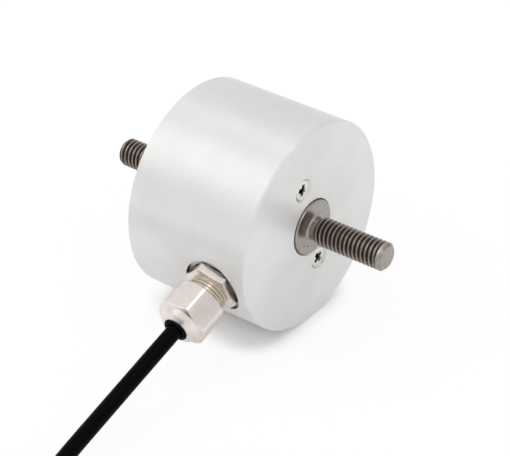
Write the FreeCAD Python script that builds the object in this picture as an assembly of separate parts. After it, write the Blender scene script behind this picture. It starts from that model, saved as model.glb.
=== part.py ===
import FreeCAD, Part
import math
import os

from FreeCAD import Placement, Rotation, Vector

# Weighing load cell: an S-shaped sensing element in a turned aluminium can, with a threaded
# stud at each end and a cable gland in the side. Lengths in millimetres, angles in degrees.
# X is the load axis, the front stud points to +X, Z is up and the can lies on its side at Z = 0.

# Housing: one turned cup, open at the rear
housing_diameter = 60.0
housing_length = 39.5
housing_wall = 6.5
front_wall = 5.0
housing_edge = 0.5

# Rear cover, screwed into the housing's rear
cover_thickness = 3.5
cover_ledge = 2.5
cover_edge = 0.4
spanner_hole_diameter = 3.0
spanner_hole_depth = 2.0
spanner_hole_spacing = 34.0

# Studs: thread, undercut neck and round shoulder in one turned piece
stud_diameter = 8.0
stud_length = 23.85
stud_tip_chamfer = 0.8
neck_diameter = 6.4
neck_length = 2.05
neck_fillet = 0.8
shoulder_diameter = 15.8
shoulder_edge = 0.3
shoulder_proud = 0.55

# Sensing element: a block cut to an S by two slots, with a thin gauged web in the middle
element_height = 38.0
element_thickness = 16.0
arm_thickness = 8.5
slot_width = 1.2
slot_land = 8.0
pocket_diameter = 9.0
web_thickness = 2.0
element_edge = 0.8

# Countersunk screws that hold the can to the element's front arm, a little above the load axis
screw_spacing = 26.4
screw_rise = 0.8
screw_diameter = 3.0
screw_head_diameter = 5.7
screw_head_rim = 0.25
screw_recess = 0.4

# Gauges, terminal board and inner leads
gauge_thickness = 0.15
board_thickness = 1.0
inner_lead_count = 4
inner_lead_diameter = 0.8
inner_lead_circle = 1.7
inner_lead_rise = 0.42
pad_spacing = 2.3

# Rubber rings
ring_section = 1.5
washer_width = 0.8
washer_thickness = 0.6

# Cable gland: distances along its axis are measured outwards from the load axis or the seat
gland_from_front = 11.65
gland_thread_diameter = 12.0
gland_shank = 6.0
gland_bore_diameter = 6.0
gland_across_flats = 14.0
gland_hex_height = 3.5
gland_collar = 7.5
gland_chamber_depth = 6.0
body_turn = 14.5
body_chamfer_angle = 15.0
spot_depth = 2.6
spot_diameter = 16.9

# Gland cap nut, sealing insert and clamping cage
cap_gap = 3.5
cap_hex_length = 8.8
cap_chamfer_angle = 30.0
cap_dome_height = 2.4
cap_dome_bulge = 0.27
cap_hole_diameter = 7.1
cap_turn = -4.0
cage_height = 4.7
cage_wall = 1.1
cage_base = 1.6
cage_slots = 8
cage_slot_width = 0.6
insert_bulge = 0.5
insert_lip_bulge = 0.1

# Cable, its coil, the ties and the stripped far end
cable_diameter = 4.2
coil_columns = 5
coil_rows = 2
coil_pitch = 4.3
coil_mean_radius = 26.4
coil_climb_room = 1.8
tie_width = 3.2
tie_thickness = 0.7
tie_head_length = 5.0
tie_head_height = 2.4
tie_angles = (115.0, 295.0)
sleeve_length = 9.0
sleeve_wall = 0.4
sleeve_overlap = 5.0
lead_diameter = 1.1
lead_conductor_diameter = 0.6
lead_bare_length = 5.0
lead_place = 0.9

# Clearances
thread_clearance = 0.05
fit_clearance = 0.1
stud_gap = 0.3
cover_gap = 0.5
thread_end_gap = 1.0
board_margin = 0.5
gauge_margin = 0.5

# The share of a cord's shorter run that each bend takes up
bend_share = 0.45

# How the can lies: turned about its load axis until the gland points a little down
lying_roll = 17.0

# Radii and places that follow from the dimensions above
housing_radius = housing_diameter / 2
bore_radius = housing_radius - housing_wall
stud_radius = stud_diameter / 2
neck_radius = neck_diameter / 2
shoulder_radius = shoulder_diameter / 2
stud_hole_radius = shoulder_radius + stud_gap
shoulder_thickness = front_wall + shoulder_proud
shoulder_rear_proud = shoulder_thickness - cover_gap - cover_thickness
front_reach = shoulder_proud + stud_length
rear_reach = shoulder_rear_proud + stud_length
front_face = (rear_reach + housing_length - front_reach) / 2
rear_face = front_face - housing_length
element_front = front_face - front_wall
cover_inside = rear_face + cover_thickness
element_rear = cover_inside + cover_gap
element_middle = (element_front + element_rear) / 2
middle_half = element_front - arm_thickness - slot_width - element_middle
thread_depth = arm_thickness - thread_end_gap
gland_x = front_face - gland_from_front
gland_seat = housing_radius - spot_depth
hex_seat = gland_seat + washer_thickness
hex_top = hex_seat + gland_hex_height
collar_top = hex_top + gland_collar
chamber_floor = collar_top - gland_chamber_depth
gland_thread_radius = gland_thread_diameter / 2
gland_flat_radius = gland_across_flats / 2
gland_corner_radius = gland_across_flats / math.sqrt(3)
cap_back = hex_top + cap_gap
cap_shoulder = cap_back + cap_hex_length
cap_end = cap_shoulder + cap_dome_height
cap_hole_radius = cap_hole_diameter / 2
cage_top = collar_top + cage_height
cable_radius = cable_diameter / 2
insert_radius = cap_hole_radius - fit_clearance
chamber_radius = insert_radius + cage_wall
coil_row_height = tie_thickness + 2 * fit_clearance + cable_radius
sleeve_radius = cable_radius + fit_clearance + sleeve_wall
lead_radius = lead_diameter / 2


# Helpers


def outline_face(outline):
    """Close an outline in the XY plane. An entry is a point, or an arc as (middle point, end point)."""
    edges = []
    last = Vector(*outline[0], 0)
    for entry in outline[1:] + [outline[0]]:
        if isinstance(entry[0], tuple):
            middle = Vector(*entry[0], 0)
            end = Vector(*entry[1], 0)
            edges.append(Part.Arc(last, middle, end).toShape())
        else:
            end = Vector(*entry, 0)
            edges.append(Part.LineSegment(last, end).toShape())
        last = end
    return Part.Face(Part.Wire(edges))


def turned(outline):
    """Turn an outline of (along, radius) points about the X axis."""
    return outline_face(outline).revolve(Vector(0, 0, 0), Vector(1, 0, 0), 360)


def bulged(start, end, bulge):
    """An outline's entry for an arc between two points that stands out from its chord to the left."""
    chord = Vector(*end, 0) - Vector(*start, 0)
    middle = Vector(*start, 0) + chord / 2 + Vector(-chord.y, chord.x, 0).normalize() * bulge
    return ((middle.x, middle.y), end)


def disc(radius, start, end):
    """A round bar along X."""
    return Part.makeCylinder(radius, end - start, Vector(start, 0, 0), Vector(1, 0, 0))


def ring(inner_radius, outer_radius, start, end):
    """A round ring along X with a rectangular section."""
    return turned([(start, inner_radius), (start, outer_radius), (end, outer_radius), (end, inner_radius)])


def rubber_ring(middle_radius, section_radius, along):
    """A round-section ring about X."""
    return Part.makeTorus(middle_radius, section_radius, Vector(along, 0, 0), Vector(1, 0, 0))


def block(low, high):
    """A box from its low corner to its high corner."""
    return Part.makeBox(*(high - low), low)


def hex_prism(across_flats, start, end, turn):
    """A hexagonal bar along X, its first corner turned from the Y axis towards -Z."""
    radius = across_flats / math.sqrt(3)
    angles = [math.radians(60 * corner - turn) for corner in range(6)]
    corners = [Vector(start, radius * math.cos(a), radius * math.sin(a)) for a in angles]
    return Part.Face(Part.makePolygon(corners + corners[:1])).extrude(Vector(end - start, 0, 0))


def in_gland(shape):
    """Move a piece built along X onto the gland's axis, which points to -Y from the load axis."""
    shape.Placement = Placement(Vector(gland_x, 0, 0), Rotation(Vector(0, 0, 1), -90))
    return shape


def reversed_at(shape, along):
    """Turn a piece built from X = 0 round to point along -X from the given place."""
    shape.Placement = Placement(Vector(along, 0, 0), Rotation(Vector(0, 0, 1), 180))
    return shape


lying = Placement(Vector(0, 0, housing_radius), Rotation(Vector(1, 0, 0), lying_roll))


def laid(shape):
    """Lay a piece of the can down on its side."""
    shape.Placement = lying.multiply(shape.Placement)
    return shape


def gland_point(along):
    """The place on the gland's axis at a distance from the load axis, with the can laid down."""
    return lying.multVec(Vector(gland_x, -along, 0))


def tube_along(points, radius, name):
    """A tube along straight runs joined by tangent arcs, each as large as its two runs allow."""
    edges = []
    bends = []
    start = points[0]
    for before, corner, after in zip(points, points[1:], points[2:]):
        run_in = corner - before
        run_out = after - corner
        reach = bend_share * min(run_in.Length, run_out.Length)
        half_turn = run_in.getAngle(run_out) / 2
        bend = reach / math.tan(half_turn)
        run_in.normalize()
        run_out.normalize()
        entry = corner - run_in * reach
        leave = corner + run_out * reach
        inward = (run_out - run_in).normalize()
        middle = corner + inward * (bend / math.cos(half_turn) - bend)
        edges.append(Part.LineSegment(start, entry).toShape())
        edges.append(Part.Arc(entry, middle, leave).toShape())
        bends.append(bend)
        start = leave
    edges.append(Part.LineSegment(start, points[-1]).toShape())
    path = Part.Wire(edges)
    circle = Part.Circle(points[0], points[1] - points[0], radius).toShape()
    tube = path.makePipeShell([Part.Wire(circle)], True, False)
    expected = math.pi * radius**2 * path.Length
    print(
        f"{name}: length {path.Length:.1f}, smallest bend {min(bends):.1f}, "
        f"volume {tube.Volume:.2f} against {expected:.2f}"
    )
    return tube, path.Length


# Can


def make_housing():
    """The cup with its stud hole, countersunk holes, cover rebate and gland seat."""
    rebate_radius = bore_radius + cover_ledge
    cup = turned(
        [
            (front_face, stud_hole_radius),
            (front_face, housing_radius - housing_edge),
            (front_face - housing_edge, housing_radius),
            (rear_face + housing_edge, housing_radius),
            (rear_face, housing_radius - housing_edge),
            (rear_face, rebate_radius),
            (cover_inside, rebate_radius),
            (cover_inside, bore_radius),
            (element_front, bore_radius),
            (element_front, stud_hole_radius),
        ]
    )
    head_radius = screw_head_diameter / 2 + fit_clearance
    shank_radius = screw_diameter / 2 + fit_clearance
    head_top = front_face - screw_recess - screw_head_rim
    countersink = turned(
        [
            (front_face, 0),
            (front_face, head_radius + screw_recess),
            (head_top, head_radius),
            (head_top - head_radius + shank_radius, shank_radius),
            (element_front, shank_radius),
            (element_front, 0),
        ]
    )
    for side in (1, -1):
        hole = countersink.copy()
        hole.translate(Vector(0, 0, screw_rise + side * screw_spacing / 2))
        cup = cup.cut(hole)
    spot = in_gland(disc(spot_diameter / 2, gland_seat, housing_diameter))
    tapped = in_gland(disc(gland_thread_radius + thread_clearance, bore_radius / 2, gland_seat))
    return cup.cut(spot).cut(tapped)


def make_rear_cover():
    """The screwed-in disc that closes the can, with a ring groove and two spanner holes."""
    radius = bore_radius + cover_ledge - thread_clearance
    groove_middle = bore_radius + cover_ledge / 2
    disc_body = turned(
        [
            (rear_face, stud_hole_radius),
            (rear_face, radius - cover_edge),
            (rear_face + cover_edge, radius),
            (cover_inside, radius),
            (cover_inside, stud_hole_radius),
        ]
    )
    groove = ring(
        groove_middle - ring_section / 2,
        groove_middle + ring_section / 2,
        cover_inside - ring_section,
        cover_inside,
    )
    disc_body = disc_body.cut(groove)
    for side in (1, -1):
        hole = disc(spanner_hole_diameter / 2, rear_face, rear_face + spanner_hole_depth)
        hole.translate(Vector(0, side * spanner_hole_spacing / 2, 0))
        disc_body = disc_body.cut(hole)
    return disc_body


def make_cover_ring():
    """The rubber ring in the cover's groove, against the housing's ledge."""
    return rubber_ring(bore_radius + cover_ledge / 2, ring_section / 2, cover_inside - ring_section / 2)


# Load path


def make_stud():
    """A stud built from its shoulder's inner face at X = 0, with a ring groove round the shoulder."""
    tip = shoulder_thickness + stud_length
    groove_start = (shoulder_thickness - ring_section) / 2
    groove_end = groove_start + ring_section
    groove_radius = stud_hole_radius - ring_section
    thread_start = shoulder_thickness + neck_length
    fillet_middle = neck_fillet * (1 - math.sqrt(0.5))
    return turned(
        [
            (-thread_depth, 0),
            (-thread_depth, stud_radius - stud_tip_chamfer),
            (stud_tip_chamfer - thread_depth, stud_radius),
            (0, stud_radius),
            (0, shoulder_radius),
            (groove_start, shoulder_radius),
            (groove_start, groove_radius),
            (groove_end, groove_radius),
            (groove_end, shoulder_radius),
            (shoulder_thickness - shoulder_edge, shoulder_radius),
            (shoulder_thickness, shoulder_radius - shoulder_edge),
            (shoulder_thickness, neck_radius + neck_fillet),
            (
                (shoulder_thickness + fillet_middle, neck_radius + fillet_middle),
                (shoulder_thickness + neck_fillet, neck_radius),
            ),
            (thread_start, neck_radius),
            (thread_start + stud_radius - neck_radius, stud_radius),
            (tip - stud_tip_chamfer, stud_radius),
            (tip, stud_radius - stud_tip_chamfer),
            (tip, 0),
        ]
    )


def make_front_stud():
    stud = make_stud()
    stud.translate(Vector(element_front, 0, 0))
    return stud


def make_rear_stud():
    return reversed_at(make_stud(), element_rear)


def make_stud_ring(along):
    """The rubber ring in a shoulder's groove, which closes the gap to the hole."""
    return rubber_ring(stud_hole_radius - ring_section / 2, ring_section / 2, along)


def make_front_ring():
    return make_stud_ring(element_front + shoulder_thickness / 2)


def make_rear_ring():
    return make_stud_ring(element_rear - shoulder_thickness / 2)


def make_sensing_element():
    """The S: two slots from opposite sides, a pocket in each flank and the tapped holes."""
    half_height = element_height / 2
    half_thickness = element_thickness / 2
    body = block(
        Vector(element_rear, -half_thickness, -half_height),
        Vector(element_front, half_thickness, half_height),
    )
    body = body.makeChamfer(element_edge, [e for e in body.Edges if abs(e.tangentAt(0).x) > 0.5])
    slot_depth = element_height - slot_land
    front_slot = block(
        Vector(element_front - arm_thickness - slot_width, -half_thickness, half_height - slot_depth),
        Vector(element_front - arm_thickness, half_thickness, half_height),
    )
    rear_slot = block(
        Vector(element_rear + arm_thickness, -half_thickness, -half_height),
        Vector(element_rear + arm_thickness + slot_width, half_thickness, slot_depth - half_height),
    )
    body = body.cut(front_slot).cut(rear_slot)
    for side in (1, -1):
        start = Vector(element_middle, side * web_thickness / 2, 0)
        pocket = Part.makeCylinder(pocket_diameter / 2, half_thickness, start, Vector(0, side, 0))
        body = body.cut(pocket)
        screw_hole = disc(screw_diameter / 2 + thread_clearance, element_front - thread_depth, element_front)
        screw_hole.translate(Vector(0, 0, screw_rise + side * screw_spacing / 2))
        body = body.cut(screw_hole)
    stud_hole = stud_radius + thread_clearance
    body = body.cut(disc(stud_hole, element_front - thread_depth, element_front))
    return body.cut(disc(stud_hole, element_rear, element_rear + thread_depth))


def make_housing_screws():
    """Two countersunk screws, their heads a little below the housing's face."""
    head_radius = screw_head_diameter / 2
    shank_radius = screw_diameter / 2
    head_top = front_face - screw_recess
    cone_start = head_top - screw_head_rim
    screw = turned(
        [
            (head_top, 0),
            (head_top, head_radius),
            (cone_start, head_radius),
            (cone_start - head_radius + shank_radius, shank_radius),
            (element_front - thread_depth, shank_radius),
            (element_front - thread_depth, 0),
        ]
    )
    screws = []
    for side in (1, -1):
        placed = screw.copy()
        placed.translate(Vector(0, 0, screw_rise + side * screw_spacing / 2))
        screws.append(placed)
    return Part.makeCompound(screws)


# Electrics


def make_strain_gauges():
    """A double-grid foil gauge on each side of the web."""
    half_side = (pocket_diameter / 2 - gauge_margin) / math.sqrt(2)
    gauges = []
    for side in (1, -1):
        near = side * web_thickness / 2
        far = near + side * gauge_thickness
        low = Vector(element_middle - half_side, min(near, far), -half_side)
        high = Vector(element_middle + half_side, max(near, far), half_side)
        gauges.append(block(low, high))
    return Part.makeCompound(gauges)


board_low = Vector(
    element_middle - middle_half + board_margin,
    -element_thickness / 2 - board_thickness,
    board_margin + element_edge - element_height / 2,
)
board_high = Vector(
    element_middle + middle_half - board_margin,
    -element_thickness / 2,
    -pocket_diameter / 2 - board_margin,
)


def make_terminal_board():
    """The small board bonded to the element's flank below the pocket."""
    return block(board_low, board_high)


def make_inner_leads():
    """Leads from the cable's inner end to a row of pads on the terminal board."""
    start_y = -cable_route_start
    pad_y = board_low.y
    pad_z = (board_low.z + board_high.z) / 2
    leads = []
    for number in range(inner_lead_count):
        clock = 2 * math.pi * (number + 0.5) / inner_lead_count
        offset = inner_lead_circle / 2
        start = Vector(gland_x + offset * math.cos(clock), start_y, offset * math.sin(clock))
        from_middle = number - (inner_lead_count - 1) / 2
        pad = Vector(element_middle + from_middle * pad_spacing, pad_y, pad_z)
        rise = (pad_y - start_y) * inner_lead_rise
        points = [
            start,
            start + Vector(0, rise, 0),
            Vector(pad.x, pad_y - rise, pad.z),
            pad,
        ]
        lead, _ = tube_along(points, inner_lead_diameter / 2, f"inner lead {number + 1}")
        leads.append(lead)
    return Part.makeCompound(leads)


# Cable gland, built along X from the load axis and then turned to the side


def make_gland_washer():
    """The flat sealing ring between the hexagon and the spot face."""
    inner = gland_thread_radius + fit_clearance
    return in_gland(ring(inner, inner + washer_width, gland_seat, hex_seat))


def make_gland_body():
    """Threaded shank, hexagon and threaded collar, bored through, with the insert's chamber."""
    chamfer = (gland_corner_radius - gland_flat_radius) * math.tan(math.radians(body_chamfer_angle))
    bore_start = hex_seat - gland_shank
    round_limit = turned(
        [
            (hex_seat, 0),
            (hex_seat, gland_corner_radius),
            (hex_top - chamfer, gland_corner_radius),
            (hex_top, gland_flat_radius),
            (hex_top, 0),
        ]
    )
    hexagon = hex_prism(gland_across_flats, hex_seat, hex_top, body_turn).common(round_limit)
    body = hexagon.fuse(disc(gland_thread_radius, bore_start, collar_top)).removeSplitter()
    body = body.cut(disc(gland_bore_diameter / 2, bore_start, collar_top))
    return in_gland(body.cut(disc(chamber_radius + fit_clearance, chamber_floor, collar_top)))


def make_gland_insert():
    """The rubber insert round the cable; its end bulges out of the cap nut's hole."""
    bore = cable_radius + fit_clearance
    bulge_end = cap_end + insert_bulge
    lip_start = (cap_end, insert_radius)
    lip_end = (bulge_end, (insert_radius + bore) / 2)
    return in_gland(
        turned(
            [
                (chamber_floor, bore),
                (chamber_floor, chamber_radius),
                (collar_top, chamber_radius),
                (cage_top, insert_radius),
                lip_start,
                bulged(lip_start, lip_end, insert_lip_bulge),
                (bulge_end, bore),
            ]
        )
    )


def make_gland_cage():
    """The nylon cage whose fingers the cap nut presses onto the insert."""
    inner_low = chamber_radius + fit_clearance
    inner_high = insert_radius + fit_clearance
    base_top = collar_top + cage_base
    cage = turned(
        [
            (collar_top, inner_low),
            (collar_top, inner_low + cage_wall),
            (base_top, inner_low + cage_wall),
            (cage_top, inner_high + cage_wall),
            (cage_top, inner_high),
        ]
    )
    half_slot = cage_slot_width / 2
    for number in range(cage_slots):
        slot = block(Vector(base_top, -half_slot, 0), Vector(cage_top, half_slot, gland_thread_diameter))
        slot.rotate(Vector(0, 0, 0), Vector(1, 0, 0), 360 * number / cage_slots)
        cage = cage.cut(slot)
    return in_gland(cage)


def make_gland_cap_nut():
    """The hexagonal cap nut with a domed end, tapped to run on the collar and coned for the cage."""
    chamfer = (gland_corner_radius - gland_flat_radius) * math.tan(math.radians(cap_chamfer_angle))
    dome_start = (cap_shoulder, gland_flat_radius)
    dome_end = (cap_end, cap_hole_radius + fit_clearance)
    round_limit = turned(
        [
            (cap_back, 0),
            (cap_back, gland_flat_radius),
            (cap_back + chamfer, gland_corner_radius),
            (cap_shoulder - chamfer, gland_corner_radius),
            dome_start,
            bulged(dome_start, dome_end, cap_dome_bulge),
            (cap_end, 0),
        ]
    )
    nut = hex_prism(gland_across_flats, cap_back, cap_end, cap_turn).common(round_limit)
    tapped_end = collar_top + fit_clearance
    cage_outer = chamber_radius + cage_wall + 2 * fit_clearance
    cage_inner = insert_radius + cage_wall + 2 * fit_clearance
    inside = turned(
        [
            (cap_back, 0),
            (cap_back, gland_thread_radius + thread_clearance),
            (tapped_end, gland_thread_radius + thread_clearance),
            (tapped_end, cage_outer),
            (collar_top + cage_base, cage_outer),
            (cage_top, cage_inner),
            (cage_top, cap_hole_radius),
            (cap_end, cap_hole_radius),
            (cap_end, 0),
        ]
    )
    return in_gland(nut.cut(inside))


# Cable: out of the gland, down to the surface and away to the coil

cable_route_start = 21.0
cable_route = [
    gland_point(cable_route_start),
    gland_point(64.0),
    Vector(11.8, -103.5, coil_row_height),
    Vector(17.8, -116.4, coil_row_height),
]

# The coil: rows of turns to the right, wound inwards on the surface and outwards on top of that.
# The turn that climbs between the rows lies a little further in.
coil_outer_turn = coil_mean_radius + (coil_columns - 1) / 2 * coil_pitch
coil_outer_radius = coil_outer_turn + cable_radius + fit_clearance
coil_inner_radius = 2 * coil_mean_radius - coil_outer_radius - coil_climb_room
coil_bottom = coil_row_height - cable_radius - fit_clearance
coil_top = coil_bottom + (coil_rows - 1) * coil_pitch + 2 * (cable_radius + fit_clearance)
coil_stub = math.sqrt(coil_outer_radius**2 - (coil_outer_turn - cable_radius) ** 2) + fit_clearance
coil_heading = (cable_route[-1] - cable_route[-2]).normalize()
coil_right = Vector(coil_heading.y, -coil_heading.x, 0)
coil_entry = cable_route[-1] + coil_heading * coil_stub
coil_centre = coil_entry + coil_right * coil_outer_turn
coil_exit = coil_entry + Vector(0, 0, (coil_rows - 1) * coil_pitch)

# The tail: off the top of the coil and down to the surface, as (forward, to the right, down)
tail_steps = [(0.0, 0.0, 0.0), (11.0, 0.0, 0.0), (23.6, 4.6, 4.6), (33.0, 12.2, 4.6)]
tail_start = coil_exit + coil_heading * coil_stub
tail_route = [
    tail_start + coil_heading * forward + coil_right * aside - Vector(0, 0, down)
    for forward, aside, down in tail_steps
]
tail_end = tail_route[-1]
end_heading = (tail_route[-1] - tail_route[-2]).normalize()
end_left = Vector(-end_heading.y, end_heading.x, 0).normalize()


def make_cable():
    return tube_along(cable_route, cable_radius, "cable")


def make_cable_tail():
    return tube_along(tail_route, cable_radius, "cable tail")


def make_cable_coil():
    """The outer shape of the tied coil, with the stretches that run into and out of its turns."""
    body = ring(coil_inner_radius, coil_outer_radius, coil_bottom, coil_top)
    body = body.makeFillet(cable_radius / 2, [e for e in body.Edges if isinstance(e.Curve, Part.Circle)])
    upright = Rotation(Vector(0, 1, 0), -90)
    body.Placement = Placement(Vector(coil_centre.x, coil_centre.y, 0), upright)
    way_in = Part.makeCylinder(cable_radius, coil_stub, cable_route[-1], coil_heading)
    way_out = Part.makeCylinder(cable_radius, coil_stub, coil_exit, coil_heading)
    return body.fuse(way_in).fuse(way_out).removeSplitter()


def make_coil_tie(angle):
    """A flat tie round the coil's section, with its head on top."""
    room = fit_clearance / 2
    inner_reach = math.sqrt(coil_inner_radius**2 - (tie_width / 2) ** 2)
    inner_low = Vector(inner_reach - room, -tie_width / 2, coil_bottom - room)
    inner_high = Vector(coil_outer_radius + room, tie_width / 2, coil_top + room)
    wall = Vector(tie_thickness, 0, tie_thickness)
    band = block(inner_low - wall, inner_high + wall)
    band = band.makeFillet(tie_thickness, [e for e in band.Edges if abs(e.tangentAt(0).y) > 0.5])
    band = band.cut(block(inner_low, inner_high))
    head_low = Vector(coil_mean_radius - tie_head_length / 2, -tie_width / 2, inner_high.z + tie_thickness)
    head = block(head_low, head_low + Vector(tie_head_length, tie_width, tie_head_height))
    tie = band.fuse(head).removeSplitter()
    tie.Placement = Placement(Vector(coil_centre.x, coil_centre.y, 0), Rotation(Vector(0, 0, 1), angle))
    return tie


def make_end_sleeve():
    """Heat-shrink sleeve over the end of the jacket."""
    start = tail_end - end_heading * sleeve_overlap
    outside = Part.makeCylinder(sleeve_radius, sleeve_length, start, end_heading)
    inside = Part.makeCylinder(cable_radius + fit_clearance / 2, sleeve_length, start, end_heading)
    return outside.cut(inside)


# The far end's leads, as (sideways and upwards place in the jacket, spread to the left, reach)
lead_fans = {
    "lead_red": (lead_place, lead_place, 7.0, 18.0),
    "lead_white": (lead_place, -lead_place, 3.5, 20.0),
    "lead_screen": (0.0, 0.0, 0.4, 17.0),
    "lead_green": (-lead_place, -lead_place, -3.2, 19.5),
    "lead_black": (-lead_place, lead_place, -6.6, 18.5),
}


def make_lead(name):
    """One stripped lead, fanned out on the surface, with its bare conductor at the tip."""
    sideways, upwards, spread, reach = lead_fans[name]
    up = Vector(0, 0, 1)
    straight = sleeve_length - sleeve_overlap + lead_diameter
    start = tail_end + end_left * sideways + up * upwards
    landing = tail_end - up * (tail_end.z - lead_radius)
    points = [
        start,
        start + end_heading * straight,
        landing + end_heading * (straight + reach) / 2 + end_left * spread / 2,
        landing + end_heading * reach + end_left * spread,
    ]
    lead, _ = tube_along(points, lead_radius, name)
    tip_heading = (points[-1] - points[-2]).normalize()
    tip = Part.makeCylinder(lead_conductor_diameter / 2, lead_bare_length, points[-1], tip_heading)
    return lead.fuse(tip)


# Write one solid, or one group of like solids, per piece

os.makedirs("parts", exist_ok=True)

can_pieces = {
    "housing": make_housing,
    "rear_cover": make_rear_cover,
    "cover_ring": make_cover_ring,
    "sensing_element": make_sensing_element,
    "front_stud": make_front_stud,
    "rear_stud": make_rear_stud,
    "front_ring": make_front_ring,
    "rear_ring": make_rear_ring,
    "housing_screws": make_housing_screws,
    "strain_gauges": make_strain_gauges,
    "terminal_board": make_terminal_board,
    "inner_leads": make_inner_leads,
    "gland_washer": make_gland_washer,
    "gland_body": make_gland_body,
    "gland_insert": make_gland_insert,
    "gland_cage": make_gland_cage,
    "gland_cap_nut": make_gland_cap_nut,
}
pieces = {name: laid(make()) for name, make in can_pieces.items()}
pieces["cable"], cable_length = make_cable()
pieces["cable_coil"] = make_cable_coil()
pieces["coil_tie_near"] = make_coil_tie(tie_angles[0])
pieces["coil_tie_far"] = make_coil_tie(tie_angles[1])
pieces["cable_tail"], tail_length = make_cable_tail()
pieces["end_sleeve"] = make_end_sleeve()
for lead_name in lead_fans:
    pieces[lead_name] = make_lead(lead_name)

spiral_turns = coil_rows * (coil_columns - 1)
inner_turn = 2 * coil_mean_radius - coil_outer_turn
wound_radii = spiral_turns * coil_mean_radius + inner_turn * (coil_rows - 1)
coil_length = 2 * math.pi * wound_radii + 2 * coil_stub
print(f"whole cable: {cable_length + coil_length + tail_length:.0f}")

for name, shape in pieces.items():
    shape.exportStep(f"parts/{name}.step")
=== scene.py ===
"""Weighing load cell: the looks of a turned aluminium can with a threaded stud at each end, a
nickel-plated cable gland and a tied black cable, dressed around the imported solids.

Sizes are in millimetres and angles in degrees, and a mesh becomes metres as it is placed. Pieces of
the can are built about the load axis X with the gland on the -Y side, and are then laid down on the
side of the can, as the solids are."""

import math

import bmesh
import bpy
from mathutils import Matrix, Vector


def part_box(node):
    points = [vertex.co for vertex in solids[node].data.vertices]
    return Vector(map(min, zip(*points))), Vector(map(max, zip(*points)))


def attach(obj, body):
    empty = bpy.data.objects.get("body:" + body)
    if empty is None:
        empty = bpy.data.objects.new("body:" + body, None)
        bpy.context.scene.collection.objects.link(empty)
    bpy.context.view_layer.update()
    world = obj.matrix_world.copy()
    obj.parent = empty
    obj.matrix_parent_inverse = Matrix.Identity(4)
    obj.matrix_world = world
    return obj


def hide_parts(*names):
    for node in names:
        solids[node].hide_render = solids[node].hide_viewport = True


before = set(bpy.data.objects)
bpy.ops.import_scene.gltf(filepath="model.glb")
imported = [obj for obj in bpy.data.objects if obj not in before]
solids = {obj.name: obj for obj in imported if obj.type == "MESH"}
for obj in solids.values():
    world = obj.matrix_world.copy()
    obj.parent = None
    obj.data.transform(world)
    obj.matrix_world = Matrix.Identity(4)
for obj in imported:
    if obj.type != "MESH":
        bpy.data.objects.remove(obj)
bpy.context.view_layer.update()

MM = 0.001
MERGE = 1e-4
SHARP_ANGLE = math.radians(28)
TO_CORNER = math.radians(30)


def box_mm(node):
    """A solid's lowest and highest corners."""
    low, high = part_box(node)
    return low / MM, high / MM


# Sizes from the solids

housing_low, housing_high = box_mm("housing")
cap_low, cap_high = box_mm("gland_cap_nut")
element_low, element_high = box_mm("sensing_element")
stud_high = box_mm("front_stud")[1]
cover_high = box_mm("rear_cover")[1]
front_face = housing_high.x
rear_face = housing_low.x
housing_radius = housing_high.y
cover_inside = cover_high.x
cover_radius = cover_high.y
element_front = element_high.x
element_rear = element_low.x
gland_x = (cap_low.x + cap_high.x) / 2
shoulder_radius = stud_high.y
lying_roll = 17.0

# Can and cover
housing_edge = 0.5
bore_radius = 23.5
shoulder_play = 0.3
stud_hole_radius = shoulder_radius + shoulder_play
cover_edge = 0.4
cover_play = 0.05
rebate_radius = cover_radius + cover_play
spanner_hole_radius = 1.5
spanner_hole_depth = 2.0
spanner_hole_spacing = 34.0
ring_groove = 1.5
edge_break = 0.12
overshoot = 1.0

# Studs
stud_radius = 4.0
stud_root_radius = 3.3
stud_pitch = 1.32
neck_radius = 3.2
neck_length = 2.05
neck_fillet = 0.8
stud_tip_radius = 3.2
tip_rounding = 0.2
shoulder_edge = 0.3
shoulder_thickness = 5.55
thread_depth = 7.5
inner_chamfer = 0.8
front_plain_end = 2.0

# Screws in the front face
screw_spacing = 26.4
screw_rise = 0.8
screw_head_radius = 2.85
screw_head_rim = 0.25
screw_recess = 0.4
screw_radius = 1.5
screw_end = 7.75

# Gland, as distances along its axis from the load axis
gland_shank_end = 22.0
washer_seat = 27.4
spot_floor = 28.45
hex_seat = 28.75
hex_top = 31.5
collar_top = 39.0
chamber_floor = 33.0
cap_back = 35.0
cap_shoulder = 43.8
cap_end = 46.2
insert_end = 46.7
cage_base_top = 40.6
cage_top = 43.7

# Gland, across its axis
gland_flat_radius = 7.0
gland_corner_radius = gland_flat_radius / math.cos(TO_CORNER)
hex_blank_margin = 0.4
hex_blank_radius = gland_corner_radius + hex_blank_margin
hex_segments = 360
chamfer_steps = 24
gland_thread_radius = 6.0
gland_root_radius = 5.45
gland_pitch = 1.0
gland_play = 0.05
gland_hole_radius = gland_thread_radius + gland_play
gland_shank_radius = gland_thread_radius - gland_play
gland_bore_radius = 3.0
chamber_radius = 4.65
cap_hole_radius = 3.55
spot_radius = 8.45
washer_pocket_radius = 6.95
washer_lip_radius = 7.25
body_turn = 14.5
cap_turn = -4.0
body_corner_rounding = 0.4
cap_corner_rounding = 2.6

# Cable
cable_radius = 2.2

can_place = Matrix.Translation((0, 0, housing_radius)) @ Matrix.Rotation(math.radians(lying_roll), 4, "X")
front_place = can_place @ Matrix.Translation((element_front, 0, 0))
rear_place = can_place @ Matrix.Translation((element_rear, 0, 0)) @ Matrix.Rotation(math.pi, 4, "Z")
gland_place = can_place @ Matrix.Translation((gland_x, 0, 0)) @ Matrix.Rotation(-math.pi / 2, 4, "Z")


# Nodes and colours


def linear(hex_colour):
    """An sRGB hex colour as linear red, green, blue and alpha."""
    parts = [int(hex_colour[place : place + 2], 16) / 255 for place in (1, 3, 5)]
    return [c / 12.92 if c <= 0.04045 else ((c + 0.055) / 1.055) ** 2.4 for c in parts] + [1.0]


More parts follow.
